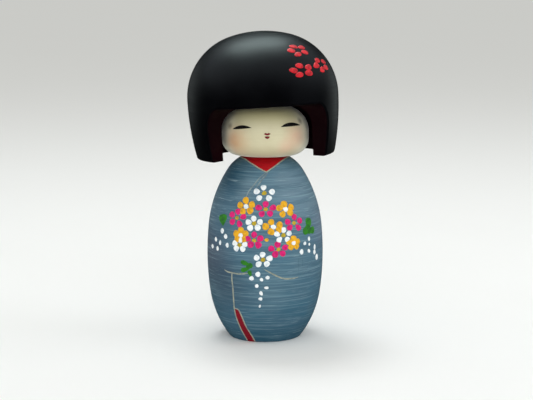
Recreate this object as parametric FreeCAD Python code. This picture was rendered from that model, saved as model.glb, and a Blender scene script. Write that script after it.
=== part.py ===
"""Turned wooden kokeshi doll with a separate hollow hair cap and a head that turns on its neck dowel.

Units are millimetres. +Z is up and -Y is the doll's front. The origin is the centre of the foot.
The body, the neck dowel and the head are turned about Z, which is also the neck joint's axis. The hair
cap is turned about an axis of its own, which leans a few degrees towards -X and is turned a little, so
that the face window looks just off -Y. Heights on the head and the hair cap are measured from the neck.
"""

import FreeCAD, Part
import math
import os

# Body, turned about Z. Its side is a chain of arcs up and down from the belly, each given as its
# radius and the height where it ends.
BELLY_RADIUS = 28.5
BELLY_HEIGHT = 41.0
NECK_HEIGHT = 90.1
UPPER_SIDE = [(160.0, 55.0), (62.0, 83.0), (18.0, NECK_HEIGHT)]
LOWER_SIDE = [(125.0, 22.0), (48.0, 0.0)]
FOOT_ROUND = 0.9

# Neck dowel and its bead, turned about Z
DOWEL_RADIUS = 4.5
DOWEL_IN_BODY = 16.0
DOWEL_ABOVE_SEAT = 16.0
DOWEL_CHAMFER = 0.6
BEAD_RADIUS = 5.6
BEAD_HALF_HEIGHT = 2.2
BEAD_ABOVE_SEAT = 10.0

# Head, turned about Z: a rounded cheek, a short straight side, a broad round over the forehead, and a
# short tenon on the crown
HEAD_RADIUS = 21.4
CHEEK_ROUND = 8.2
FOREHEAD_HEIGHT = 11.4
FOREHEAD_ROUND = 12.4
TENON_RADIUS = 9.5
CROWN_HEIGHT = 26.2

# Hair axis: its lean towards -X, its turn towards +X and how far beside Z it meets the neck
HAIR_LEAN_DEG = 3.0
HAIR_TURN_DEG = 4.5
HAIR_OFFSET = 0.4

# Crown dowel, along the hair axis
CROWN_DOWEL_RADIUS = 3.0
CROWN_DOWEL_LENGTH = 14.0

# Hair cap, turned about the hair axis
HAIR_RADIUS = 36.8
HAIR_WIDEST_HEIGHT = 28.4
HAIR_TOP_HEIGHT = 60.1
HAIR_TOP_ROUND = 52.0
HAIR_SIDE_ROUND = 127.0
RIM_HEIGHT = -0.2
HAIR_EDGE_ROUND = 1.2
HOLLOW_RADIUS = 26.4
HOLLOW_HEIGHT = 24.8
HOLLOW_ROUND = 9.0

# Face window through the front of the hair cap: its outline just inside the hollow and just outside
# the hair, each as depth in front of the hair axis, half width, height and corner round
WINDOW_INSIDE = (14.4, 21.0, 25.0, 12.0)
WINDOW_OUTSIDE = (40.0, 46.0, 25.9, 8.0)

# Fits
RUNNING_GAP = 0.06
GLUE_GAP = 0.05
SEAT_GAP = 0.05
CROWN_GAP = 0.13


def point(radius, height):
    """A point of a turning profile, which lies in the XZ plane."""
    return FreeCAD.Vector(radius, 0, height)


def line(start, end):
    return Part.LineSegment(start, end).toShape()


def arc(centre_radius, centre_height, radius, start, end):
    """An arc of a turning profile, between two angles above the horizontal in radians."""

    def at(angle):
        return point(
            centre_radius + radius * math.cos(angle), centre_height + radius * math.sin(angle)
        )

    return Part.Arc(at(start), at((start + end) / 2), at(end)).toShape()


def arc_chain(radius, height, arcs):
    """Tangent arcs that run on from the widest point of a side, and the radius where they end."""
    edges = []
    angle = 0.0
    for arc_radius, end_height in arcs:
        centre_radius = radius - arc_radius * math.cos(angle)
        centre_height = height - arc_radius * math.sin(angle)
        end_angle = math.asin((end_height - centre_height) / arc_radius)
        edges.append(arc(centre_radius, centre_height, arc_radius, angle, end_angle))
        radius = centre_radius + arc_radius * math.cos(end_angle)
        height = end_height
        angle = end_angle
    return edges, radius


def turned(edges):
    """The solid of revolution about Z of a closed profile."""
    face = Part.Face(Part.Wire(Part.__sortEdges__(edges)))
    return face.revolve(FreeCAD.Vector(), FreeCAD.Vector(0, 0, 1), 360)


def round_turned_outline(solid, radius):
    """The solid with a round at every edge where one of its turned, curved faces meets a cut."""

    def is_turned(face):
        return isinstance(face.Surface, (Part.SurfaceOfRevolution, Part.Sphere))

    outline = [
        edge
        for edge in solid.Edges
        if len({is_turned(face) for face in solid.ancestorsOfType(edge, Part.Face)}) == 2
    ]
    return solid.makeFillet(radius, outline)


def cylinder(radius, low, high):
    return Part.makeCylinder(radius, high - low, FreeCAD.Vector(0, 0, low))


def on_hair_axis(shape):
    """A shape drawn about Z with the neck as its origin, moved onto the hair axis."""
    lean = FreeCAD.Rotation(FreeCAD.Vector(0, 1, 0), -HAIR_LEAN_DEG)
    turn = FreeCAD.Rotation(FreeCAD.Vector(0, 0, 1), HAIR_TURN_DEG)
    placed = shape.copy()
    placed.Placement = FreeCAD.Placement(
        FreeCAD.Vector(HAIR_OFFSET, 0, NECK_HEIGHT), lean * turn
    )
    return placed


def kimono_body():
    """The barrel-shaped body, with the neck dowel's socket in its flat neck seat."""
    upper, neck_radius = arc_chain(BELLY_RADIUS, BELLY_HEIGHT, UPPER_SIDE)
    lower, foot_radius = arc_chain(BELLY_RADIUS, BELLY_HEIGHT, LOWER_SIDE)
    flats = [
        line(point(0, 0), point(foot_radius, 0)),
        line(point(neck_radius, NECK_HEIGHT), point(0, NECK_HEIGHT)),
        line(point(0, NECK_HEIGHT), point(0, 0)),
    ]
    barrel = turned(upper + lower + flats)
    foot_edge = min(barrel.Edges, key=lambda edge: edge.BoundBox.ZMax)
    barrel = barrel.makeFillet(FOOT_ROUND, [foot_edge])
    socket = cylinder(DOWEL_RADIUS + GLUE_GAP, NECK_HEIGHT - DOWEL_IN_BODY, NECK_HEIGHT + 1)
    return barrel.cut(socket)


def bead(gap):
    """The rounded bead of the neck dowel, or with a gap, the groove that it turns in."""
    middle = NECK_HEIGHT + BEAD_ABOVE_SEAT
    half_height = BEAD_HALF_HEIGHT + gap
    low = point(DOWEL_RADIUS + gap, middle - half_height)
    high = point(DOWEL_RADIUS + gap, middle + half_height)
    outside = Part.Arc(low, point(BEAD_RADIUS + gap, middle), high).toShape()
    low_middle = point(0, middle - half_height)
    high_middle = point(0, middle + half_height)
    return turned(
        [line(low_middle, low), outside, line(high, high_middle), line(high_middle, low_middle)]
    )


def neck_dowel():
    """The dowel glued in the body, with chamfered ends and the bead that keeps the head on."""
    shank = cylinder(DOWEL_RADIUS, NECK_HEIGHT - DOWEL_IN_BODY, NECK_HEIGHT + DOWEL_ABOVE_SEAT)
    ends = [edge for edge in shank.Edges if len(edge.Vertexes) == 1]
    return shank.makeChamfer(DOWEL_CHAMFER, ends).fuse(bead(0))


def head_outside(gap=0.0):
    """The head's outside, or with a gap, the recess that the hair cap has for its tenon."""
    cheek_height = NECK_HEIGHT + SEAT_GAP + CHEEK_ROUND
    forehead_height = NECK_HEIGHT + FOREHEAD_HEIGHT
    crown_height = NECK_HEIGHT + CROWN_HEIGHT + gap
    forehead_centre = HEAD_RADIUS - FOREHEAD_ROUND
    tenon_radius = TENON_RADIUS + gap
    sweep = math.acos((tenon_radius - forehead_centre) / (FOREHEAD_ROUND + gap))
    cheek = arc(HEAD_RADIUS - CHEEK_ROUND, cheek_height, CHEEK_ROUND + gap, -math.pi / 2, 0)
    forehead = arc(forehead_centre, forehead_height, FOREHEAD_ROUND + gap, 0, sweep)
    under_edge = min((vertex.Point for vertex in cheek.Vertexes), key=lambda place: place.z)
    tenon_foot = max((vertex.Point for vertex in forehead.Vertexes), key=lambda place: place.z)
    flats = [
        line(point(0, under_edge.z), under_edge),
        line(point(HEAD_RADIUS + gap, cheek_height), point(HEAD_RADIUS + gap, forehead_height)),
        line(tenon_foot, point(tenon_radius, crown_height)),
        line(point(tenon_radius, crown_height), point(0, crown_height)),
        line(point(0, crown_height), point(0, under_edge.z)),
    ]
    return turned([cheek, forehead] + flats)


def crown_hole():
    """The hole for the crown dowel, half of it in the head and half in the hair cap."""
    reach = CROWN_DOWEL_LENGTH / 2
    return on_hair_axis(
        cylinder(CROWN_DOWEL_RADIUS + GLUE_GAP, CROWN_HEIGHT - reach, CROWN_HEIGHT + reach)
    )


def head():
    """The face piece, with a flat underside, the neck dowel's bore and groove, and the crown's hole."""
    bore_top = NECK_HEIGHT + DOWEL_ABOVE_SEAT + 1
    bore = cylinder(DOWEL_RADIUS + RUNNING_GAP, NECK_HEIGHT - 1, bore_top)
    return head_outside().cut(bore).cut(bead(RUNNING_GAP)).cut(crown_hole())


def crown_dowel():
    """The plain dowel that joins the head and the hair cap."""
    reach = CROWN_DOWEL_LENGTH / 2
    return on_hair_axis(
        cylinder(CROWN_DOWEL_RADIUS, CROWN_HEIGHT - reach, CROWN_HEIGHT + reach)
    )


def hair_outside():
    """The hair's outside: a dome on a round shoulder, and a side drawn in to a flat rim."""
    top_centre = HAIR_TOP_HEIGHT - HAIR_TOP_ROUND
    rise = HAIR_WIDEST_HEIGHT - top_centre
    shoulder_round = (HAIR_TOP_ROUND**2 - HAIR_RADIUS**2 - rise**2) / (
        2 * (HAIR_TOP_ROUND - HAIR_RADIUS)
    )
    shoulder_centre = HAIR_RADIUS - shoulder_round
    join = math.atan2(rise, shoulder_centre)
    side, rim_radius = arc_chain(HAIR_RADIUS, HAIR_WIDEST_HEIGHT, [(HAIR_SIDE_ROUND, RIM_HEIGHT)])
    outline = side + [
        arc(shoulder_centre, HAIR_WIDEST_HEIGHT, shoulder_round, 0, join),
        arc(0, top_centre, HAIR_TOP_ROUND, join, math.pi / 2),
        line(point(0, HAIR_TOP_HEIGHT), point(0, RIM_HEIGHT)),
        line(point(0, RIM_HEIGHT), point(rim_radius, RIM_HEIGHT)),
    ]
    return turned(outline)


def hair_hollow():
    """The hollow around the head, straight-sided with a rounded ceiling."""
    flat_radius = HOLLOW_RADIUS - HOLLOW_ROUND
    wall_top = HOLLOW_HEIGHT - HOLLOW_ROUND
    low = RIM_HEIGHT - 1
    return turned(
        [
            line(point(0, low), point(HOLLOW_RADIUS, low)),
            line(point(HOLLOW_RADIUS, low), point(HOLLOW_RADIUS, wall_top)),
            arc(flat_radius, wall_top, HOLLOW_ROUND, 0, math.pi / 2),
            line(point(flat_radius, HOLLOW_HEIGHT), point(0, HOLLOW_HEIGHT)),
            line(point(0, HOLLOW_HEIGHT), point(0, low)),
        ]
    )


def window_outline(depth, half_width, top, corner):
    """The face window's outline in the plane at one depth in front of the hair axis."""
    low = RIM_HEIGHT - 5
    side_top = top - corner
    middle = corner * (1 - math.cos(math.radians(45)))

    def at(across, height):
        return FreeCAD.Vector(across, -depth, height)

    def corner_arc(side):
        return Part.Arc(
            at(side * half_width, side_top),
            at(side * (half_width - middle), top - middle),
            at(side * (half_width - corner), top),
        ).toShape()

    return Part.Wire(
        [
            line(at(-half_width, low), at(-half_width, side_top)),
            corner_arc(-1),
            line(at(corner - half_width, top), at(half_width - corner, top)),
            corner_arc(1),
            line(at(half_width, side_top), at(half_width, low)),
            line(at(half_width, low), at(-half_width, low)),
        ]
    )


def hair_cap():
    """The hollow hair piece, open at its rim and its face window, with its outer edges rounded."""
    window = Part.makeLoft(
        [window_outline(*WINDOW_INSIDE), window_outline(*WINDOW_OUTSIDE)], True, True
    )
    bob = round_turned_outline(hair_outside().cut(window), HAIR_EDGE_ROUND)
    shell = on_hair_axis(bob.cut(hair_hollow()))
    return shell.cut(head_outside(CROWN_GAP)).cut(crown_hole())


SUB_PARTS = {
    "kimono_body": kimono_body,
    "neck_dowel": neck_dowel,
    "head": head,
    "crown_dowel": crown_dowel,
    "hair_cap": hair_cap,
}

os.makedirs("parts", exist_ok=True)
for name, build in SUB_PARTS.items():
    shape = build()
    print(name, len(shape.Solids), shape.isValid(), round(shape.Volume), shape.optimalBoundingBox())
    shape.exportStep(f"parts/{name}.step")
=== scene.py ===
"""Looks of a turned wooden kokeshi doll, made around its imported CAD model.

Lengths are metres. Sizes given with MM are millimetres. A place on the doll is an azimuth in degrees,
from the front (-Y) towards +X, and a height in millimetres above the foot of that surface's own axis.
Everything painted is laid on the CAD surfaces, and the paint rides with the piece that it is on.
"""

import math
import random

import bmesh
import bpy
import numpy as np
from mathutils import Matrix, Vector
from mathutils.bvhtree import BVHTree


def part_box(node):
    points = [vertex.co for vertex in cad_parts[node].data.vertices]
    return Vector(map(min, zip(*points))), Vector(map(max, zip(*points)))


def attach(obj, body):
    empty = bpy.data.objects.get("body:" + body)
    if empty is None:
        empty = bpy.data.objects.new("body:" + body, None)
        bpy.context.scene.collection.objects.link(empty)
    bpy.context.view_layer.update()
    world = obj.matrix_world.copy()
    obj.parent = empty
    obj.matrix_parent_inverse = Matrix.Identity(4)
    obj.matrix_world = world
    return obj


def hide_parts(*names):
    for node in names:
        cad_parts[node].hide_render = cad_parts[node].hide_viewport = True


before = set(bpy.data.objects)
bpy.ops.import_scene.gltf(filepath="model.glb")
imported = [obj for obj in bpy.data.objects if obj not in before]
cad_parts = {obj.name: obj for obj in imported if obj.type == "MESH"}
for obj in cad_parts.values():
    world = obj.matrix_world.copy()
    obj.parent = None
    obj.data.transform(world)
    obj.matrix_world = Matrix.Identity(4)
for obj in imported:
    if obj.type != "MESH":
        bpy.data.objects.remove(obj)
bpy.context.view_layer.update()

MM = 0.001
SEED = 11
LOWER, UPPER = "lower", "upper"

# Carved body: steps along its side and round it, and the lathe tool's fine grooves, which start and end
# that far from the foot and the neck seat, all in mm
SIDE_STEP = 0.2 * MM
TURN_STEPS = 180
GROOVE_MARGINS = (1.2, 1.0)
GROOVE_SPACING = (0.75, 1.9)
GROOVE_DEPTH = (0.03, 0.075)
GROOVE_HALF_WIDTH = (0.22, 0.4)

# Incised kimono lines: half width at the surface and depth, in mm. The fainter ones keep the body's blue.
LINE_CUT = (0.36, 0.3)
FAINT_CUT = (0.26, 0.2)

# The wedge that cuts a line: how far its back stands off the surface and how far its point does at a
# tapered end, in mm, and over how many points a line tapers
WEDGE_RISE = 0.45
WEDGE_END_RISE = 0.04
TAPER_STEPS = 5

# Body faces: how near the axis the neck dowel's socket is, how near a flat's height counts as on it, and
# the angle in degrees from which an edge is shaded sharp
SOCKET_REACH = 6 * MM
FLAT_TOLERANCE = 0.01 * MM
SHARP_ANGLE = 32

# Kimono lines as (azimuth, height) points of smooth curves
NECKLINE_LEFT = [
    (2, 83.6), (-4.5, 84.5), (-11.2, 85.4), (-19.9, 86.5), (-30, 87.4), (-41, 88.2), (-58, 88.8),
    (-120, 89.1), (-180, 89.1),
]
NECKLINE_RIGHT = [
    (2, 83.6), (7.5, 84.6), (14.1, 85.6), (21.6, 86.6), (30.7, 87.6), (43, 88.4), (63, 89.0),
    (120, 89.1), (180, 89.1),
]
PANEL_EDGE = [
    (2, 83.6), (-2, 82.6), (-8.5, 80.6), (-14.5, 77.8), (-18, 76.0), (-20.5, 74.4), (-22.5, 71.5),
]
PANEL_FOLD = [(4, 83.6), (1, 82.1), (-2.5, 81.0), (-6, 79.3), (-10, 77.2), (-12, 75.5)]
LEFT_SLEEVE = [(-15, 36.4), (-19, 36.0), (-27, 35.5), (-34, 35.7), (-39, 35.9), (-45, 36.9)]
LEFT_SLEEVE_END = [(-43, 36.5), (-48, 37.4), (-58, 39.5), (-72, 44.0)]
RIGHT_SLEEVE = [(-2, 38.8), (4, 37.0), (11, 35.1), (17, 33.8), (23, 33.3), (30, 33.3), (36, 33.8)]
RIGHT_SLEEVE_END = [(34, 33.6), (38, 34.2), (42, 35.4), (46, 37.5), (56, 42.0), (70, 48.0)]
RIGHT_CUFFS = [[(33.8, 34.5), (33.8, 39.0), (33.6, 44.5)], [(38.8, 35.5), (38.8, 40.0), (38.4, 44.5)]]
FRONT_EDGE = [(-34, 35.8), (-34.4, 32.5), (-33.8, 28.5), (-33.9, 24.5), (-34.1, 20.8), (-34.6, 17.9)]
HEM_LEFT = [(-34.6, 17.9), (-34.4, 14.0), (-33.3, 10.3), (-31.9, 6.5), (-30.0, 3.0), (-27.5, -1.5)]
HEM_RIGHT = [
    (-34.6, 17.9), (-29.2, 17.2), (-26.0, 13.0), (-23.8, 9.0), (-20.4, 5.5), (-17.6, 2.6), (-14.5, -1.5),
]

# Soft round patches on the kimono: azimuth, height, radius in mm, strength and colour. The pale ones are
# partly rubbed paint and partly painted light on the right side, where the lamp falls. The dark ones are
# partly thick paint and partly painted shade on the left side, away from the lamp, with a painted shadow of
# the hair's left lock high on the left.
PALE_WEAR_AND_LIGHT_PATCHES = [
    (38.0, 74.0, 22.0, 0.6, (0.19, 0.27, 0.33)),
    (-24.0, 76.5, 9.0, 0.7, (0.2, 0.29, 0.34)),
    (76.0, 56.0, 18.0, 0.6, (0.17, 0.2, 0.28)),
    (6.0, 27.0, 14.0, 0.6, (0.12, 0.21, 0.26)),
]
THICK_PAINT_AND_SHADE_PATCHES = [
    (-56.0, 80.0, 17.0, 1.0, (0.02, 0.07, 0.115)),
    (-66.0, 44.0, 22.0, 0.75, (0.065, 0.076, 0.122)),
    (-45.0, 30.0, 22.0, 0.75, (0.038, 0.066, 0.1)),
    (-52.0, 62.0, 20.0, 0.5, (0.04, 0.095, 0.15)),
]

# Flowers on the kimono as (azimuth, height, reach across and up to a petal's middle in mm, tilt in degrees)
WHITE_FLOWERS = [
    (-1.0, 74.2, 3.7, 2.7, 3), (-11, 60.2, 3.0, 2.4, 2), (18.2, 54.5, 3.3, 2.4, 2),
    (-25.5, 49.6, 2.7, 2.3, -3), (-2, 43.0, 3.3, 2.5, 0),
]
YELLOW_FLOWERS = [
    (-21, 67.9, 3.2, 2.7, 6), (22.2, 66.6, 3.2, 2.4, 4), (8.2, 58.6, 3.5, 2.2, 14),
    (-24.5, 54.3, 2.6, 2.2, 4), (28.8, 50.4, 2.3, 2.0, 4),
]
PINK_FLOWERS = [
    (0.5, 66.8, 3.6, 2.5, 2), (-30, 62.3, 3.4, 2.9, -6), (30.5, 59.9, 3.7, 2.8, -4),
    (-10.7, 52.2, 3.0, 2.6, 0), (13, 47.8, 3.4, 2.4, 4),
]

# A flower's petals, their length and width, the centres' size up and how many times as wide they are, and
# the coats' thicknesses, in mm
PETALS = 5
PINK_PETAL, YELLOW_PETAL, WHITE_PETAL, HAIR_PETAL = (3.3, 3.0), (3.5, 3.2), (3.0, 2.8), (4.6, 2.8)
PINK_CENTRE, YELLOW_CENTRE, WHITE_CENTRE = 1.9, 2.3, 2.1
CENTRE_STRETCH = 1.15
PETAL_COAT, CENTRE_COAT, INK_COAT, LIP_COAT = 0.2, 0.24, 0.09, 0.1
LEAF_COAT = (0.1, 0.17)

# Single touches of yellow and of white as (azimuth, height, across, up, tilt)
YELLOW_DOTS = [(1.5, 52.5, 1.98, 1.71, 0)]
WHITE_DOTS = [
    (-47.7, 55.3, 2.4, 2.5, 0), (-42.5, 52.9, 2.2, 2.4, 10), (-57.5, 50.5, 1.9, 2.4, 20),
    (-50, 49.4, 1.7, 2.3, 0), (-64, 46.6, 2.4, 2.1, 0), (-54, 46.3, 2.0, 2.3, 0), (-40, 48.8, 1.9, 2.4, 0),
    (48.6, 51.4, 1.5, 2.3, 0), (42.5, 49.5, 1.9, 1.7, 20), (48.7, 48.7, 1.3, 1.4, 0),
    (57.5, 46.7, 1.6, 3.0, 0), (57, 44.3, 2.0, 2.5, 0), (48, 45.5, 1.7, 2.1, 40), (38, 45.7, 2.3, 2.6, 0),
    (61.5, 41.5, 2.4, 3.0, 0), (-7, 35.9, 2.5, 2.6, 0), (-13.3, 33.8, 2.4, 2.2, 20),
    (2.3, 34.3, 2.1, 1.8, 10), (-3.5, 33.3, 1.6, 1.8, 20), (-8.2, 30.1, 1.8, 1.9, 0),
    (1.3, 29.3, 2.2, 1.4, 0), (-4, 26.5, 1.6, 2.3, 20), (-4.7, 23.7, 2.0, 1.7, 0),
    (-5.4, 20.0, 1.0, 1.6, -20),
]

# Leaves as (azimuth, height) and the strokes of each: start, end and width, in mm across and up
LEAVES = [
    (-49.0, 60.6, [((-0.1, 2.8), (1.0, -2.9), 7.6), ((-2.0, 2.2), (-0.6, -1.9), 4.2)]),
    (
        48.4, 56.4,
        [((0.9, 5.2), (0.4, -0.8), 6.6), ((-3.9, -0.9), (2.2, -1.1), 5.4),
         ((-1.6, 1.6), (1.4, -2.8), 7.0), ((5.2, -1.0), (-0.6, -1.4), 5.2)],
    ),
    (
        -17.6, 39.2,
        [((-3.3, 2.5), (2.3, 0.9), 3.3), ((2.6, 1.6), (-0.9, -0.9), 3.9),
         ((-3.2, -1.9), (1.6, -0.5), 3.2)],
    ),
    (-14.5, 36.0, [((-0.6, 1.7), (0.5, -1.5), 3.0)]),
]

# Flowers on the hair, about the hair's own axis
HAIR_FLOWERS = [(41.4, 50.9, 4.2, 2.7, 16), (34.6, 41.9, 4.9, 2.3, 14), (60.0, 43.3, 4.4, 2.7, 16)]

# Face: each eye's place, then its left corner, the pulls of its arch and its lower lid, and its right
# corner, in mm about that place; and the lips' outlines, anticlockwise about theirs
EYES = [
    ("right_eye", (-31.8, 105.1), (-6.0, -1.1), (-0.7, 2.45), (-0.6, -1.15), (5.3, 0.1)),
    ("left_eye", (34.9, 106.3), (-5.2, -0.8), (0.2, 2.7), (0.9, -1.25), (7.6, -0.35)),
]
LIPS_PLACE = (2.8, 101.4)
UPPER_LIP = [
    (-0.75, 0.34), (0, 0.2), (0.75, 0.34), (1.7, 0.9), (0.8, 1.45), (0, 1.1), (-0.8, 1.45), (-1.7, 0.9),
]
LOWER_LIP = [
    (-0.75, -1.2), (0, -1.5), (0.75, -1.2),
    (1.35, -0.42), (0.7, -0.26), (0, -0.18), (-0.7, -0.26), (-1.35, -0.42),
]

# Blush on the cheeks and smudges beside the eyes: azimuth, height, radius in mm, strength and colour
FACE_TINTS = [
    (-42.0, 98.2, 11.0, 0.62, (0.66, 0.34, 0.17)),
    (46.0, 100.6, 10.0, 0.62, (0.7, 0.36, 0.24)),
    (28.4, 95.6, 6.5, 0.35, (0.72, 0.32, 0.24)),
    (-47.0, 98.2, 6.0, 0.35, (0.6, 0.24, 0.09)),
    (-54.0, 105.3, 2.6, 0.9, (0.2, 0.15, 0.09)),
    (57.8, 107.6, 2.6, 0.9, (0.2, 0.17, 0.11)),
]

# Bare wood's growth rings: the tree's heart beside the turning axis, the rings' waves to the metre as an
# angle, and how far they wander
WOOD_HEART = (0.006, -0.011, 0.0)
RING_RATE = 3600.0
RING_WANDER = 9.0

# Soft boxes: name, place, what it points at, size, power, colour, and whether matt paint sees it and
# whether glossy paint does
SOFT_BOXES = [
    ("overhead", (-0.1, 0.25, 1.05), (0.0, 0.0, 0.05), (0.3, 0.3), 3.0, (0.96, 1.0, 1.02), True, False),
    ("sheen", (-0.1, 0.36, 1.07), (0.0, 0.0, 0.15), (0.8, 0.6), 13.5, (0.8, 1.0, 0.98), False, True),
    ("ceiling", (0.0, 0.1, 1.5), (0.0, 0.1, 0.0), (9.0, 3.2), 90.0, (0.9, 1.0, 1.08), False, True),
    ("left_rim", (-0.9, 0.9, 0.2), (0.0, 0.0, 0.1), (0.8, 0.6), 0.7, (0.9, 1.0, 1.0), False, True),
    ("right_rim", (0.9, 0.9, 0.2), (0.0, 0.0, 0.1), (0.8, 0.6), 1.0, (0.9, 1.0, 1.0), False, True),
    ("front", (0.15, -1.0, 0.62), (0.0, 0.0, 0.08), (1.0, 0.6), 1.9, (0.96, 1.0, 1.02), True, False),
    ("low_front", (-0.6, -3.0, 0.5), (0.0, 0.0, 0.08), (3.3, 0.9), 29.0, (0.97, 1.0, 1.02), True, False),
    ("right", (1.0, -0.1, 0.35), (0.0, 0.0, 0.08), (0.6, 0.5), 2.3, (0.97, 1.0, 1.02), True, False),
]

# Stage
FLOOR_RADIUS = 40.0
FLOOR_SIDES = 96
SKY_COLOUR = (0.62, 0.622, 0.6, 1.0)

# Camera: place, how many degrees it looks down, and lens and sensor in mm
CAMERA_PLACE = (0.0007, -0.7, 0.175)
CAMERA_PITCH = 8.74
LENS = 97.2
SENSOR_WIDTH = 36.0
CAMERA_CLIP_END = 100.0


# --------------------------------------------------------------------------------------------------
# Materials
# --------------------------------------------------------------------------------------------------


class Finish:
    """A node material under construction, with a Principled shader and the object's own coordinates."""

    def __init__(self, name, **uniform):
        self.material = bpy.data.materials.new(name)
        self.material.use_nodes = True
        self.tree = self.material.node_tree
        self.shader = self.tree.nodes["Principled BSDF"]
        for socket, value in uniform.items():
            self.shader.inputs[socket.replace("_", " ")].default_value = value
        self.place = self.add("ShaderNodeTexCoord").outputs["Object"]

    def add(self, kind, links=(), **settings):
        """A new node with settings, and with links or values put into its inputs by number or name."""
        node = self.tree.nodes.new(kind)
        for setting, value in settings.items():
            setattr(node, setting, value)
        for socket, value in dict(links).items():
            if isinstance(value, bpy.types.NodeSocket):
                self.tree.links.new(value, node.inputs[socket])
            else:
                node.inputs[socket].default_value = value
        return node

    def noise(self, stretch, detail=3.0, roughness=0.55):
        """Noise from 0 to 1, with that many waves to the metre along X, Y and Z."""
        scaled = self.add("ShaderNodeMapping", {0: self.place, 3: stretch}).outputs[0]
        values = {"Vector": scaled, "Scale": 1.0, "Detail": detail, "Roughness": roughness}
        return self.add("ShaderNodeTexNoise", values).outputs[0]

    def remap(self, value, low, high, to_low=0.0, to_high=1.0):
        """A value eased from one range into another, and held at its ends."""
        links = {0: value, 1: low, 2: high, 3: to_low, 4: to_high}
        node = self.add("ShaderNodeMapRange", links, clamp=True, interpolation_type="SMOOTHSTEP")
        return node.outputs[0]

    def math(self, operation, first, second=0.0):
        """A number from two numbers."""
        return self.add("ShaderNodeMath", {0: first, 1: second}, operation=operation).outputs[0]

    def vector(self, operation, first, second=(0.0, 0.0, 0.0), output="Vector"):
        """A vector from two vectors, or with the Value output a number, such as their distance."""
        node = self.add("ShaderNodeVectorMath", {0: first, 1: second}, operation=operation)
        return node.outputs[output]

    def mix(self, share, first, second):
        """A colour that goes from the first to the second as share goes from 0 to 1."""
        links = {0: share, 6: self.colour(first), 7: self.colour(second)}
        return self.add("ShaderNodeMix", links, data_type="RGBA").outputs[2]

    def colour(self, value):
        """A colour as a node's input takes it."""
        return value if isinstance(value, bpy.types.NodeSocket) else (*value, 1.0)

    def axis_value(self, axis):
        """The X, Y or Z of each place on the piece."""
        return self.add("ShaderNodeSeparateXYZ", {0: self.place}).outputs[axis]

    def spot(self, centre, radius):
        """1 at a place in the frame, and 0 from that radius out."""
        distance = self.vector("DISTANCE", self.place, tuple(centre), output="Value")
        return self.remap(distance, 0.0, radius, 1.0, 0.0)

    def patched(self, colour, skin, patches):
        """The colour with soft round patches of other tints on it."""
        for azimuth, height, radius, strength, tint in patches:
            centre, _ = skin.spot(azimuth, height)
            share = self.math("MULTIPLY", self.spot(centre, radius * MM), strength)
            colour = self.mix(share, colour, tint)
        return colour

    def finish(self, colour, roughness=None, height=None, bump=0.3, depth=0.1 * MM):
        """The material, with its colour, roughness and bump linked up."""
        self.tree.links.new(colour, self.shader.inputs["Base Color"])
        if roughness is not None:
            self.tree.links.new(roughness, self.shader.inputs["Roughness"])
        if height is not None:
            links = {"Height": height, "Strength": bump, "Distance": depth}
            normal = self.add("ShaderNodeBump", links).outputs[0]
            self.tree.links.new(normal, self.shader.inputs["Normal"])
        return self.material


def kimono_paint(skin):
    """Blue-grey paint put on as the body turned: finely ringed, here thick and there rubbed pale, and with
    painted light and shade: paler upward and on the right, darker towards the foot, on the left and under
    the hair's left lock.
    """
    paint = Finish("kimono_blue", Specular_IOR_Level=0.2)
    height = paint.axis_value(2)
    clouds = paint.noise((55, 55, 90), detail=2.0)
    broad = paint.noise((26, 26, 520), detail=3.0, roughness=0.6)
    rings = paint.noise((24, 24, 1600), detail=3.0, roughness=0.6)
    fine = paint.noise((60, 60, 2400), detail=3.0, roughness=0.65)
    rubbed = paint.noise((48, 48, 1350), detail=4.0, roughness=0.7)
    cloudy = paint.remap(clouds, 0.35, 0.7)
    streak = (0.19, 0.31, 0.36)
    low = paint.mix(cloudy, (0.032, 0.108, 0.166), (0.044, 0.114, 0.172))
    high = paint.mix(cloudy, (0.072, 0.162, 0.228), (0.09, 0.168, 0.22))
    # Paler upward: partly the paint's own tone, partly painted light on the upper side, which the light
    # from above falls on
    base = paint.mix(paint.remap(height, 4 * MM, 58 * MM), low, high)
    # Darker towards the foot: painted shade where the side turns under towards the floor
    base = paint.mix(paint.remap(height, 0.0, 14 * MM, 0.75, 0.0), base, (0.016, 0.078, 0.125))
    # Pale patches: rubbed paint, and painted light on the right side, where the lamp falls
    base = paint.patched(base, skin, PALE_WEAR_AND_LIGHT_PATCHES)
    base = paint.mix(paint.remap(broad, 0.38, 0.66, 0.0, 0.6), base, (0.05, 0.112, 0.165))
    wear = paint.remap(height, 15 * MM, 62 * MM, 0.6, 1.0)
    ringed = paint.math("MULTIPLY", paint.remap(rings, 0.52, 0.66, 0.0, 0.6), wear)
    base = paint.mix(ringed, base, streak)
    # Dark patches: thick paint, and painted shade on the left side with a painted shadow of the hair's left
    # lock
    base = paint.patched(base, skin, THICK_PAINT_AND_SHADE_PATCHES)
    base = paint.mix(paint.remap(fine, 0.52, 0.72, 0.0, 0.5), base, streak)
    bare = paint.math("MULTIPLY", paint.remap(rubbed, 0.57, 0.7), wear)
    pale = paint.math("MULTIPLY", bare, paint.remap(clouds, 0.4, 0.62, 0.2, 0.8))
    base = paint.mix(pale, base, (0.33, 0.46, 0.5))
    roughness = paint.remap(fine, 0.2, 0.8, 0.42, 0.62)
    grain = paint.math("ADD", fine, rings)
    return paint.finish(base, roughness, grain, bump=0.25, depth=0.06 * MM)


def line_paint():
    """Pale grey-gold paint in the incised lines, worn through here and there."""
    paint = Finish("line_gold", Specular_IOR_Level=0.35)
    worn = paint.noise((420, 420, 420), detail=4.0, roughness=0.7)
    colour = paint.mix(paint.remap(worn, 0.4, 0.68), (0.36, 0.37, 0.29), (0.19, 0.24, 0.23))
    return paint.finish(colour, paint.remap(worn, 0.3, 0.7, 0.45, 0.7), worn, bump=0.3, depth=0.05 * MM)


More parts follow.
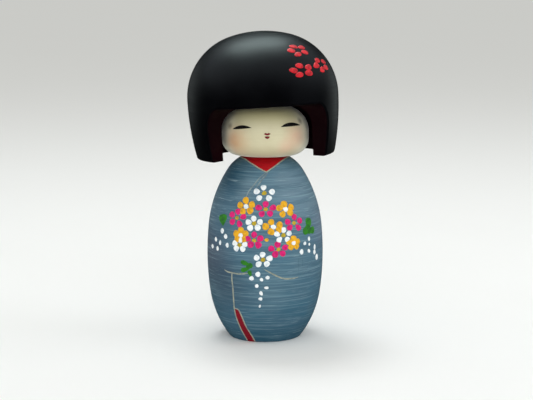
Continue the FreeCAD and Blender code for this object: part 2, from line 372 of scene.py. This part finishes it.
def faint_line_paint():
    """Thin pale blue-grey paint, for the lines where one panel of the kimono crosses the other."""
    paint = Finish("line_blue", Specular_IOR_Level=0.35)
    worn = paint.noise((300, 300, 500), detail=3.0)
    colour = paint.mix(paint.remap(worn, 0.35, 0.65), (0.15, 0.21, 0.24), (0.27, 0.34, 0.35))
    return paint.finish(colour, paint.remap(worn, 0.3, 0.7, 0.5, 0.7), worn, bump=0.2, depth=0.04 * MM)


def collar_paint():
    """Red paint of the under-collar, deeper down at the hem's lining, with the brush's streaks."""
    paint = Finish("collar_red", Specular_IOR_Level=0.2)
    streaks = paint.noise((180, 180, 900), detail=4.0, roughness=0.65)
    colour = paint.mix(paint.remap(streaks, 0.35, 0.7), (0.44, 0.003, 0.008), (0.3, 0.002, 0.007))
    low_down = paint.remap(paint.axis_value(2), 20 * MM, 60 * MM, 0.75, 0.0)
    colour = paint.mix(low_down, colour, (0.17, 0.005, 0.018))
    roughness = paint.remap(streaks, 0.3, 0.7, 0.4, 0.58)
    return paint.finish(colour, roughness, streaks, bump=0.2, depth=0.05 * MM)


def bare_wood(name="bare_wood"):
    """Pale close-grained wood with growth rings about the turning axis and fine pores."""
    wood = Finish(name, Specular_IOR_Level=0.3)
    warp = wood.noise((60, 60, 12), detail=2.0)
    flat = wood.vector("MULTIPLY", wood.vector("ADD", wood.place, WOOD_HEART), (1, 1, 0.02))
    turns = wood.math("MULTIPLY", wood.vector("LENGTH", flat, output="Value"), RING_RATE)
    waves = wood.math("SINE", wood.math("ADD", turns, wood.math("MULTIPLY", warp, RING_WANDER)))
    fibre = wood.noise((900, 900, 40), detail=4.0, roughness=0.7)
    colour = wood.mix(wood.remap(waves, -1.0, 1.0, 0.0, 0.8), (0.62, 0.44, 0.25), (0.5, 0.32, 0.16))
    colour = wood.mix(wood.remap(fibre, 0.45, 0.75, 0.0, 0.5), colour, (0.36, 0.21, 0.1))
    roughness = wood.remap(fibre, 0.3, 0.7, 0.55, 0.75)
    return wood.finish(colour, roughness, fibre, bump=0.25, depth=0.06 * MM)


def face_paint(head_skin):
    """Waxed cream paint with blush and smudges, with painted shade (an olive forehead under the fringe, a
    darker chin) and painted light (paler sides beside the hair's walls).
    """
    paint = Finish("face_cream", Specular_IOR_Level=0.3, Sheen_Weight=0.5, Sheen_Roughness=0.4)
    rings = paint.noise((40, 40, 1500), detail=3.0)
    tone = paint.noise((70, 70, 110), detail=3.0)
    colour = paint.mix(paint.remap(tone, 0.3, 0.7), (0.64, 0.59, 0.4), (0.585, 0.53, 0.35))
    colour = paint.mix(paint.remap(rings, 0.45, 0.75, 0.0, 0.25), colour, (0.54, 0.48, 0.3))
    level, aside = paint.axis_value(2), paint.math("ABSOLUTE", paint.axis_value(0))
    # Painted shade: an olive forehead under the fringe and a darker chin. Painted light: paler sides beside
    # the hair's walls
    forehead_shade_tint = paint.remap(level, 104 * MM, 116 * MM, 0.0, 0.9)
    chin_painted_shade = paint.remap(level, 90.5 * MM, 99.5 * MM, 0.85, 0.0)
    sides_painted_light = paint.remap(aside, 12 * MM, 20 * MM, 0.0, 0.9)
    colour = paint.mix(forehead_shade_tint, colour, (0.7, 0.63, 0.29))
    colour = paint.mix(chin_painted_shade, colour, (0.47, 0.4, 0.25))
    colour = paint.mix(sides_painted_light, colour, (0.86, 0.81, 0.62))
    mottle = paint.noise((330, 330, 330), detail=4.0, roughness=0.7)
    uneven = paint.remap(mottle, 0.2, 0.8, 0.75, 1.0)
    for azimuth, height, radius, strength, tint in FACE_TINTS:
        centre, _ = head_skin.spot(azimuth, height)
        spot = paint.math("MULTIPLY", paint.spot(centre, radius * MM), uneven)
        colour = paint.mix(paint.math("MULTIPLY", spot, strength), colour, tint)
    fibre = paint.noise((260, 260, 900), detail=3.0, roughness=0.6)
    roughness = paint.remap(fibre, 0.3, 0.7, 0.36, 0.5)
    return paint.finish(colour, roughness, fibre, bump=0.12, depth=0.04 * MM)


def hair_lacquer():
    """Black lacquer, glossy outside; browner and duller on the cut and hollowed faces."""
    lacquer = Finish("hair_lacquer")
    normal = lacquer.add("ShaderNodeTexCoord").outputs["Normal"]
    outward = lacquer.vector("NORMALIZE", lacquer.vector("MULTIPLY", lacquer.place, (1, 1, 0)))
    facing = lacquer.vector("DOT_PRODUCT", normal, outward, output="Value")
    upward = lacquer.add("ShaderNodeSeparateXYZ", {0: normal}).outputs[2]
    side, top = lacquer.remap(facing, 0.35, 0.75), lacquer.remap(upward, 0.25, 0.5)
    outside = lacquer.math("MAXIMUM", side, top)
    tone = lacquer.noise((45, 45, 45), detail=3.0)
    rings = lacquer.noise((30, 30, 1300), detail=3.0, roughness=0.6)
    cloud = lacquer.remap(tone, 0.35, 0.7)
    black = lacquer.mix(cloud, (0.0008, 0.0008, 0.0016), (0.002, 0.0022, 0.0032))
    brown = lacquer.mix(cloud, (0.005, 0.0006, 0.0018), (0.009, 0.0008, 0.0022))
    colour = lacquer.mix(outside, brown, black)
    shine = lacquer.remap(outside, 0.0, 1.0, 0.04, 0.15)
    lacquer.tree.links.new(shine, lacquer.shader.inputs["Specular IOR Level"])
    ringed = lacquer.remap(rings, 0.3, 0.8, 0.0, 0.06)
    polish = lacquer.math("ADD", lacquer.remap(tone, 0.3, 0.7, 0.36, 0.42), ringed)
    dull = lacquer.math("ADD", lacquer.remap(outside, 0.0, 1.0, 0.18, 0.0), polish)
    return lacquer.finish(colour, dull, rings, bump=0.1, depth=0.04 * MM)


def touch_paint(name, main, deep, pale):
    """Thick brushed paint: darker where it thins out, with pale streaks where it stands up."""
    paint = Finish(name, Specular_IOR_Level=0.25)
    pooled = paint.noise((620, 620, 620), detail=2.0)
    streaks = paint.noise((1400, 1400, 2600), detail=3.0, roughness=0.7)
    colour = paint.mix(paint.remap(pooled, 0.4, 0.72), main, deep)
    colour = paint.mix(paint.remap(streaks, 0.55, 0.75, 0.0, 0.6), colour, pale)
    roughness = paint.remap(pooled, 0.3, 0.7, 0.4, 0.6)
    return paint.finish(colour, roughness, streaks, bump=0.2, depth=0.05 * MM)


# --------------------------------------------------------------------------------------------------
# Surfaces that paint is laid on
# --------------------------------------------------------------------------------------------------


class Skin:
    """A CAD node's turned surface, with azimuths and heights about its own axis."""

    # Height in mm from which a line runs straight down, past the foot's rounded edge
    FOOT_ROUND = 0.6
    # Where the rays start that look for the surface
    OUTSIDE = 200 * MM

    def __init__(self, node, foot=(0, 0, 0), axis=(0, 0, 1)):
        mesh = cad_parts[node].data
        faces = [face.vertices[:] for face in mesh.polygons]
        self.tree = BVHTree.FromPolygons([vertex.co.copy() for vertex in mesh.vertices], faces)
        self.foot = Vector(foot)
        self.axis = Vector(axis).normalized()

    def spot(self, azimuth, height):
        """The surface's point and normal at an azimuth and a height, straight down once under the foot."""
        turn = math.radians(azimuth)
        outward = Vector((math.sin(turn), -math.cos(turn), 0))
        outward = (outward - self.axis * outward.dot(self.axis)).normalized()
        level = self.foot + self.axis * max(height, self.FOOT_ROUND) * MM
        place, normal, _, _ = self.tree.ray_cast(level + outward * self.OUTSIDE, -outward)
        return place + self.axis * min(height - self.FOOT_ROUND, 0) * MM, normal

    def laid(self, centre, normal, across, up):
        """The surface's point and normal at a distance across and up from a place on it."""
        right = self.axis.cross(normal).normalized()
        place = centre + right * across + normal.cross(right) * up
        point, point_normal, _, _ = self.tree.find_nearest(place)
        return point, point_normal


def hair_skin():
    """The hair's surface about the hair's axis, which the crown dowel shows."""
    places = [vertex.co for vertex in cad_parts["crown_dowel"].data.vertices]
    heights = [place.z for place in places]
    middle = (min(heights) + max(heights)) / 2
    above = [place for place in places if place.z > middle]
    below = [place for place in places if place.z <= middle]
    upper, lower = (sum(end, Vector()) / len(end) for end in (above, below))
    axis = (upper - lower).normalized()
    neck_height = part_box("kimono_body")[1].z
    foot = lower - axis * ((lower.z - neck_height) / axis.z)
    return Skin("hair_cap", foot, axis)


# --------------------------------------------------------------------------------------------------
# Touches of paint
# --------------------------------------------------------------------------------------------------


class Coat:
    """All the touches of one paint on one surface, as lens-shaped drops that make up one piece."""

    # Each ring's share of the outline and its rise as a share of the thickness, the middle's rise, and how
    # far the root is under the surface in mm
    RINGS = ((1.0, -0.02), (0.97, 0.3), (0.86, 0.75), (0.6, 1.0), (0.3, 0.96))
    MIDDLE_RISE = 0.93
    SUNK = -0.12

    def __init__(self, skin, thickness):
        self.skin = skin
        self.thickness = thickness
        self.points = []
        self.faces = []

    def touch(self, azimuth, height, outline, thickness=None):
        """One drop of paint, given its outline across and up, in mm, about a place."""
        centre, normal = self.skin.spot(azimuth, height)
        lift = (thickness or self.thickness) * MM
        first, count = len(self.points), len(outline)
        middle_across = sum(across for across, _ in outline) / count
        middle_up = sum(up for _, up in outline) / count

        def add(share, out):
            for across, up in outline:
                place, facing = self.skin.laid(
                    centre,
                    normal,
                    (middle_across + (across - middle_across) * share) * MM,
                    (middle_up + (up - middle_up) * share) * MM,
                )
                self.points.append(place + facing * out)

        def add_middle(out):
            place, facing = self.skin.laid(centre, normal, middle_across * MM, middle_up * MM)
            self.points.append(place + facing * out)

        add(1.0, self.SUNK * MM)
        for share, rise in self.RINGS:
            add(share, rise * lift)
        for ring in range(len(self.RINGS)):
            low = first + ring * count
            for i in range(count):
                j = (i + 1) % count
                self.faces.append((low + i, low + j, low + count + j, low + count + i))
        top = first + len(self.RINGS) * count
        add_middle(lift * self.MIDDLE_RISE)
        add_middle(self.SUNK * MM)
        crown, root = len(self.points) - 2, len(self.points) - 1
        for i in range(count):
            j = (i + 1) % count
            self.faces.append((top + i, top + j, crown))
            self.faces.append((first + j, first + i, root))

    def piece(self, name, body, slot, material):
        """The touches laid so far, as one closed piece that rides on a body."""
        mesh = bpy.data.meshes.new(name)
        mesh.from_pydata(self.points, [], self.faces)
        mesh.materials.append(material)
        mesh.shade_smooth()
        piece = bpy.data.objects.new(name, mesh)
        bpy.context.scene.collection.objects.link(piece)
        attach(piece, body)


def turned_outline(outline, degrees, across=0.0, up=0.0):
    """An outline turned anticlockwise, then moved."""
    c, s = math.cos(math.radians(degrees)), math.sin(math.radians(degrees))
    return [(across + x * c - y * s, up + x * s + y * c) for x, y in outline]


def petal_outline(length, width, chance, steps=20):
    """An egg-shaped touch, with its round end along +X, as uneven as a brush leaves it."""
    swell = chance.uniform(0.12, 0.24)
    waves = [(chance.uniform(0.01, 0.035), chance.uniform(0, math.tau)) for _ in range(3)]
    outline = []
    for i in range(steps):
        angle = math.tau * i / steps
        wobble = 1 + sum(
            size * math.sin((k + 2) * angle + phase) for k, (size, phase) in enumerate(waves)
        )
        x = length / 2 * math.cos(angle) * wobble
        y = width / 2 * math.sin(angle) * (1 + swell * math.cos(angle)) * wobble
        outline.append((x, y))
    return outline


def dab_outline(across, up, tilt, chance):
    """A round or oval touch, tilted."""
    return turned_outline(petal_outline(across, up, chance), tilt)


def stroke_outline(start, end, width, chance, steps=22):
    """A brush stroke from a full round end to a fine tip."""
    (x0, y0), (x1, y1) = start, end
    length, angle = math.hypot(x1 - x0, y1 - y0), math.degrees(math.atan2(y0 - y1, x0 - x1))
    outline = []
    for i in range(steps):
        turn = math.tau * i / steps
        along = math.cos(turn)
        half = width / 2 * math.sin(turn) * (0.62 + 0.38 * along) * chance.uniform(0.95, 1.05)
        outline.append((length / 2 * along, half))
    return turned_outline(outline, angle, (x0 + x1) / 2, (y0 + y1) / 2)


def paint_flower(petals, centres, flower, petal_size, centre_size, chance, lie_across=False):
    """Petals round a centre, pointing away from it, or all level where they lie across."""
    azimuth, height, across, up, tilt = flower
    for i in range(PETALS):
        angle = 90 + 360 / PETALS * i + tilt + chance.uniform(-6, 6)
        reach = chance.uniform(0.94, 1.06)
        x, y = math.cos(math.radians(angle)) * across * reach, math.sin(math.radians(angle)) * up * reach
        length, width = (side * chance.uniform(0.92, 1.08) for side in petal_size)
        lean = (0 if lie_across else math.degrees(math.atan2(y, x))) + chance.uniform(-14, 14)
        petals.touch(azimuth, height, turned_outline(petal_outline(length, width, chance), lean, x, y))
    if centres:
        across = centre_size * CENTRE_STRETCH
        outline = dab_outline(across, centre_size, chance.uniform(-30, 30), chance)
        centres.touch(azimuth, height, outline)


def paint_kimono(skin):
    """The spray of flowers, leaves and dots on the kimono's front."""
    chance = random.Random(SEED)
    white, yellow, pink, green, ochre = (Coat(skin, PETAL_COAT) for _ in range(5))
    white_middles = Coat(skin, CENTRE_COAT)
    for azimuth, height, strokes in LEAVES:
        for start, end, width in strokes:
            outline = stroke_outline(start, end, width, chance)
            green.touch(azimuth, height, outline, chance.uniform(*LEAF_COAT))
    for flower in PINK_FLOWERS:
        paint_flower(pink, ochre, flower, PINK_PETAL, PINK_CENTRE, chance)
    for flower in YELLOW_FLOWERS:
        paint_flower(yellow, white_middles, flower, YELLOW_PETAL, YELLOW_CENTRE, chance)
    for flower in WHITE_FLOWERS:
        paint_flower(white, ochre, flower, WHITE_PETAL, WHITE_CENTRE, chance)
    for coat, dots in ((yellow, YELLOW_DOTS), (white, WHITE_DOTS)):
        for azimuth, height, across, up, tilt in dots:
            coat.touch(azimuth, height, dab_outline(across, up, tilt, chance))
    white_paint = touch_paint("paint_white", (0.86, 0.88, 0.88), (0.62, 0.69, 0.74), (0.92, 0.93, 0.93))
    yellow_paint = touch_paint("paint_yellow", (0.8, 0.4, 0.012), (0.56, 0.27, 0.01), (0.88, 0.55, 0.08))
    pink_paint = touch_paint("paint_pink", (0.7, 0.01, 0.165), (0.48, 0.007, 0.11), (0.8, 0.08, 0.29))
    green_paint = touch_paint("paint_green", (0.028, 0.21, 0.012), (0.02, 0.12, 0.022), (0.07, 0.3, 0.03))
    ochre_paint = touch_paint("paint_ochre", (0.5, 0.36, 0.02), (0.34, 0.26, 0.02), (0.66, 0.52, 0.08))
    green.piece("leaves", LOWER, "paint_green", green_paint)
    pink.piece("pink_petals", LOWER, "paint_pink", pink_paint)
    yellow.piece("yellow_petals", LOWER, "paint_yellow", yellow_paint)
    white.piece("white_petals_and_dots", LOWER, "paint_white", white_paint)
    ochre.piece("ochre_flower_centres", LOWER, "paint_ochre", ochre_paint)
    white_middles.piece("white_flower_centres", LOWER, "paint_white", white_paint)


def paint_hair(skin):
    """The red flowers on the side of the hair."""
    chance = random.Random(SEED + 1)
    red = Coat(skin, PETAL_COAT)
    for flower in HAIR_FLOWERS:
        paint_flower(red, None, flower, HAIR_PETAL, 0, chance, lie_across=True)
    material = touch_paint("paint_red", (0.6, 0.005, 0.013), (0.3, 0.003, 0.009), (0.68, 0.035, 0.055))
    red.piece("hair_flowers", UPPER, "paint_red", material)


def lid_outline(left, arch, lower, right, steps=12):
    """A closed eye: a brush line between its two corners, thick under the arch."""

    def curve(start, pull, end):
        for i in range(steps):
            t = i / steps
            a, b, c = (1 - t) ** 2, 2 * t * (1 - t), t**2
            yield a * start[0] + b * pull[0] + c * end[0], a * start[1] + b * pull[1] + c * end[1]

    return list(curve(left, lower, right)) + list(curve(right, arch, left))


def paint_face(skin):
    """The closed eyes and the two small lips."""
    ink = touch_paint("ink_black", (0.008, 0.007, 0.007), (0.004, 0.004, 0.004), (0.03, 0.026, 0.022))
    lip = touch_paint("lip_red", (0.19, 0.012, 0.018), (0.11, 0.008, 0.012), (0.27, 0.035, 0.04))
    for name, place, *outline in EYES:
        eye = Coat(skin, INK_COAT)
        eye.touch(*place, lid_outline(*outline))
        eye.piece(name, UPPER, "ink_black", ink)
    for name, outline in (("upper_lip", UPPER_LIP), ("lower_lip", LOWER_LIP)):
        mouth = Coat(skin, LIP_COAT)
        mouth.touch(*LIPS_PLACE, outline)
        mouth.piece(name, UPPER, "lip_red", lip)


# --------------------------------------------------------------------------------------------------
# The carved body
# --------------------------------------------------------------------------------------------------


def catmull_rom(a, b, c, d, t):
    """The value between b and c, at t from 0 to 1, of the smooth curve that a, b, c and d lie on."""
    bend = 2 * a - 5 * b + 4 * c - d
    twist = 3 * b - a - 3 * c + d
    return 0.5 * (2 * b + (c - a) * t + bend * t**2 + twist * t**3)


def smooth_curve(points, step=0.7, reach=26.0):
    """Points on a smooth curve through (azimuth, height) points, about step apart at that reach, in mm."""
    ends = [points[0], *points, points[-1]]
    curve = []
    for before, start, end, after in zip(ends, ends[1:], ends[2:], ends[3:]):
        length = math.hypot(math.radians(end[0] - start[0]) * reach, end[1] - start[1])
        count = max(1, math.ceil(length / step))
        for i in range(count):
            curve.append(
                tuple(catmull_rom(*values, i / count) for values in zip(before, start, end, after))
            )
    return [*curve, points[-1]]


def solid_object(name, points, faces, material):
    """A mesh object of one material, with its faces turned outwards."""
    mesh = bpy.data.meshes.new(name)
    mesh.from_pydata(points, [], faces)
    mesh.materials.append(material)
    shape = bmesh.new()
    shape.from_mesh(mesh)
    bmesh.ops.recalc_face_normals(shape, faces=shape.faces)
    shape.to_mesh(mesh)
    shape.free()
    solid = bpy.data.objects.new(name, mesh)
    bpy.context.scene.collection.objects.link(solid)
    return solid


def graver(skin, curve, cut, material, taper=(True, True), closed=False):
    """The wedge that cuts a line along a curve, with its point under the surface and its back above it."""
    half_width, depth = cut
    points = []
    spots = [skin.spot(*place) for place in curve]
    last = len(spots) - 1
    for i, (place, normal) in enumerate(spots):
        before = spots[(i - 1) % len(spots)] if closed else spots[max(i - 1, 0)]
        after = spots[(i + 1) % len(spots)] if closed else spots[min(i + 1, last)]
        aside = normal.cross(after[0] - before[0]).normalized()
        share = min(i / TAPER_STEPS if taper[0] else 1, (last - i) / TAPER_STEPS if taper[1] else 1, 1)
        deep = depth * share - WEDGE_END_RISE * (1 - share)
        half = half_width * (depth + WEDGE_RISE) / depth
        points.append(place - normal * deep * MM)
        points.append(place + (normal * WEDGE_RISE + aside * half) * MM)
        points.append(place + (normal * WEDGE_RISE - aside * half) * MM)
    sections = [range(3 * i, 3 * i + 3) for i in range(len(spots))]
    faces = []
    for low, high in zip(sections, sections[1:] + sections[:1] if closed else sections[1:]):
        faces += [(low[k], low[(k + 1) % 3], high[(k + 1) % 3], high[k]) for k in range(3)]
    if not closed:
        faces += [tuple(sections[0]), tuple(sections[-1])]
    return solid_object("graver", points, faces, material)


def body_profile():
    """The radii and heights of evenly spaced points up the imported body's side, from foot to neck."""
    widest = {}
    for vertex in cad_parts["kimono_body"].data.vertices:
        radius, height = vertex.co.xy.length, round(vertex.co.z, 6)
        widest[height] = max(radius, widest.get(height, 0))
    # The side is much further out than the heights where only the socket has vertices
    side_from = 1.5 * min(widest.values())
    side = sorted((height, radius) for height, radius in widest.items() if radius > side_from)
    heights, radii = np.array(side).T
    along = np.concatenate([[0], np.cumsum(np.hypot(np.diff(heights), np.diff(radii)))])
    even = np.linspace(0, along[-1], round(along[-1] / SIDE_STEP) + 1)
    heights, radii = np.interp(even, along, heights), np.interp(even, along, radii)
    # A short running mean takes the mesh's facets out of the side, but not at its ends
    ease = np.ones(5) / 5
    inner = slice(6, -6)
    heights[inner] = np.convolve(heights, ease, "same")[inner]
    radii[inner] = np.convolve(radii, ease, "same")[inner]
    return radii, heights


def lathe_marks(heights, chance):
    """How deep the turning tool has marked the side at each height."""
    marks = np.zeros_like(heights)
    foot_margin, neck_margin = GROOVE_MARGINS
    height = foot_margin * MM
    while height < heights[-1] - neck_margin * MM:
        near = np.clip(1 - np.abs(heights - height) / (chance.uniform(*GROOVE_HALF_WIDTH) * MM), 0, 1)
        marks = np.maximum(marks, near * chance.uniform(*GROOVE_DEPTH) * MM)
        height += chance.uniform(*GROOVE_SPACING) * MM
    return marks


def turned_body(material):
    """The body as one closed turned solid with lathe marks, and with the dowel's socket in its top."""
    radii, heights = body_profile()
    radii = radii - lathe_marks(heights, random.Random(SEED + 2))
    places = [vertex.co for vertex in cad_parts["kimono_body"].data.vertices]
    socket = [place for place in places if place.xy.length < SOCKET_REACH]
    socket_radius = max(place.xy.length for place in socket)
    socket_foot = min(place.z for place in socket if place.z > FLAT_TOLERANCE)
    section = [*zip(radii, heights), (socket_radius, heights[-1]), (socket_radius, socket_foot)]
    points, faces = [], []
    for radius, height in section:
        for i in range(TURN_STEPS):
            turn = math.tau * i / TURN_STEPS
            points.append((radius * math.cos(turn), radius * math.sin(turn), height))
    for ring in range(len(section) - 1):
        low, high = ring * TURN_STEPS, (ring + 1) * TURN_STEPS
        for i in range(TURN_STEPS):
            j = (i + 1) % TURN_STEPS
            faces.append((low + i, low + j, high + j, high + i))
    faces.append(tuple(reversed(range(TURN_STEPS))))
    faces.append(tuple(range(len(points) - TURN_STEPS, len(points))))
    return solid_object("carved_body", points, faces, material)


def carve(body, gravers):
    """Cut each graver's line out of the body. The cut faces take the graver's material."""
    for tool in gravers:
        cut = body.modifiers.new("line", "BOOLEAN")
        cut.operation = "DIFFERENCE"
        cut.object = tool
        cut.solver = "MANIFOLD"
        cut.material_mode = "TRANSFER"
    seen = bpy.context.evaluated_depsgraph_get()
    mesh = bpy.data.meshes.new_from_object(body.evaluated_get(seen), depsgraph=seen)
    body.modifiers.clear()
    body.data = mesh
    for tool in gravers:
        bpy.data.objects.remove(tool)


def paint_faces(mesh, neckline, hem_left, hem_right, blue, red, wood):
    """The blue faces inside the neckline and the hem made red, and those of the foot and seat bare wood."""
    names = [material.name for material in mesh.materials]
    blue_index, red_index, wood_index = (names.index(paint.name) for paint in (blue, red, wood))
    neck_azimuths, neck_heights = zip(*sorted(neckline))
    hem_left_heights, hem_left_azimuths = zip(*sorted(place[::-1] for place in hem_left))
    hem_right_heights, hem_right_azimuths = zip(*sorted(place[::-1] for place in hem_right))
    seat_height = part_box("kimono_body")[1].z
    for face in mesh.polygons:
        if face.material_index != blue_index:
            continue
        centre = face.center
        azimuth, height = math.degrees(math.atan2(centre.x, -centre.y)), centre.z / MM
        on_foot = centre.z < FLAT_TOLERANCE
        on_seat = centre.z > seat_height - FLAT_TOLERANCE or centre.xy.length < SOCKET_REACH
        above_neckline = height > np.interp(azimuth, neck_azimuths, neck_heights)
        in_hem = height < hem_left_heights[-1] and (
            np.interp(height, hem_left_heights, hem_left_azimuths)
            < azimuth
            < np.interp(height, hem_right_heights, hem_right_azimuths)
        )
        if on_foot or on_seat:
            face.material_index = wood_index
        elif above_neckline or in_hem:
            face.material_index = red_index


def carved_body(skin):
    """The kimono body with its incised lines, painted faces and bare wood foot."""
    blue, gold, faint = kimono_paint(skin), line_paint(), faint_line_paint()
    red, wood = collar_paint(), bare_wood()
    body = turned_body(blue)
    left, right = smooth_curve(NECKLINE_LEFT), smooth_curve(NECKLINE_RIGHT)
    neckline = [*reversed(left), *right[1:-1]]
    hem_left, hem_right = smooth_curve(HEM_LEFT), smooth_curve(HEM_RIGHT)
    gravers = [
        graver(skin, neckline, LINE_CUT, gold, closed=True),
        graver(skin, smooth_curve(PANEL_EDGE), LINE_CUT, faint, taper=(False, True)),
        graver(skin, smooth_curve(PANEL_FOLD), LINE_CUT, faint, taper=(False, True)),
        graver(skin, smooth_curve(LEFT_SLEEVE), LINE_CUT, gold),
        graver(skin, smooth_curve(RIGHT_SLEEVE), LINE_CUT, gold),
        graver(skin, smooth_curve(FRONT_EDGE), LINE_CUT, gold, taper=(False, False)),
        graver(skin, hem_left, LINE_CUT, gold, taper=(False, False)),
        graver(skin, hem_right, LINE_CUT, gold, taper=(False, False)),
    ]
    for line in (LEFT_SLEEVE_END, RIGHT_SLEEVE_END, *RIGHT_CUFFS):
        gravers.append(graver(skin, smooth_curve(line), FAINT_CUT, blue))
    carve(body, gravers)
    body.data.materials.append(red)
    body.data.materials.append(wood)
    paint_faces(body.data, neckline, hem_left, hem_right, blue, red, wood)
    body.data.shade_smooth()
    body.data.set_sharp_from_angle(angle=math.radians(SHARP_ANGLE))
    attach(body, LOWER)
    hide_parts("kimono_body")


# --------------------------------------------------------------------------------------------------
# Floor, light and camera
# --------------------------------------------------------------------------------------------------


def lay_floor():
    """A wide pale floor, which glossy paint doesn't mirror."""
    mesh = bpy.data.meshes.new("floor")
    shape = bmesh.new()
    bmesh.ops.create_circle(shape, cap_ends=True, segments=FLOOR_SIDES, radius=FLOOR_RADIUS)
    shape.to_mesh(mesh)
    shape.free()
    floor = bpy.data.objects.new("floor", mesh)
    pale = Finish("floor", Roughness=0.9, Specular_IOR_Level=0.0)
    tone = pale.noise((1.2, 1.2, 1.2), detail=2.0)
    mesh.materials.append(pale.finish(pale.mix(tone, (0.945, 0.95, 0.94), (0.955, 0.955, 0.95))))
    bpy.context.scene.collection.objects.link(floor)
    floor.visible_glossy = False


def make_sky():
    """An even pale sky, which glossy paint doesn't mirror."""
    world = bpy.data.worlds.new("sky")
    world.use_nodes = True
    sky = world.node_tree.nodes["Background"]
    sky.inputs["Color"].default_value = SKY_COLOUR
    sky.inputs["Strength"].default_value = 1.0
    bpy.context.scene.world = world
    world.cycles_visibility.glossy = False


def hang_soft_boxes():
    """The lamps, each seen either by matt paint or by glossy paint, and none by the camera."""
    for name, place, aim, size, power, colour, on_matt, on_gloss in SOFT_BOXES:
        lamp = bpy.data.lights.new(name, "AREA")
        lamp.shape = "RECTANGLE"
        lamp.size, lamp.size_y = size
        lamp.energy = power
        lamp.color = colour
        box = bpy.data.objects.new(name, lamp)
        box.location = place
        box.rotation_euler = (Vector(aim) - Vector(place)).to_track_quat("-Z", "Y").to_euler()
        box.visible_camera = False
        box.visible_diffuse = on_matt
        box.visible_glossy = on_gloss
        bpy.context.scene.collection.objects.link(box)


def place_camera():
    """The camera in front of the doll, looking a little down on it."""
    lens = bpy.data.cameras.new("camera")
    lens.lens = LENS
    lens.sensor_width = SENSOR_WIDTH
    lens.dof.use_dof = False
    lens.clip_end = CAMERA_CLIP_END
    camera = bpy.data.objects.new("camera", lens)
    camera.location = CAMERA_PLACE
    camera.rotation_euler = (math.radians(90 - CAMERA_PITCH), 0, 0)
    bpy.context.scene.collection.objects.link(camera)
    bpy.context.scene.camera = camera
    bpy.context.scene.view_settings.view_transform = "Standard"


def refinish(node, material):
    """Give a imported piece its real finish."""
    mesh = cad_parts[node].data
    mesh.materials.clear()
    mesh.materials.append(material)


body_skin, head_skin = Skin("kimono_body"), Skin("head")
carved_body(body_skin)
paint_kimono(body_skin)
refinish("head", face_paint(head_skin))
paint_face(head_skin)
refinish("hair_cap", hair_lacquer())
paint_hair(hair_skin())
dowel_wood = bare_wood("dowel_wood")
refinish("neck_dowel", dowel_wood)
refinish("crown_dowel", dowel_wood)
lay_floor()
make_sky()
hang_soft_boxes()
place_camera()
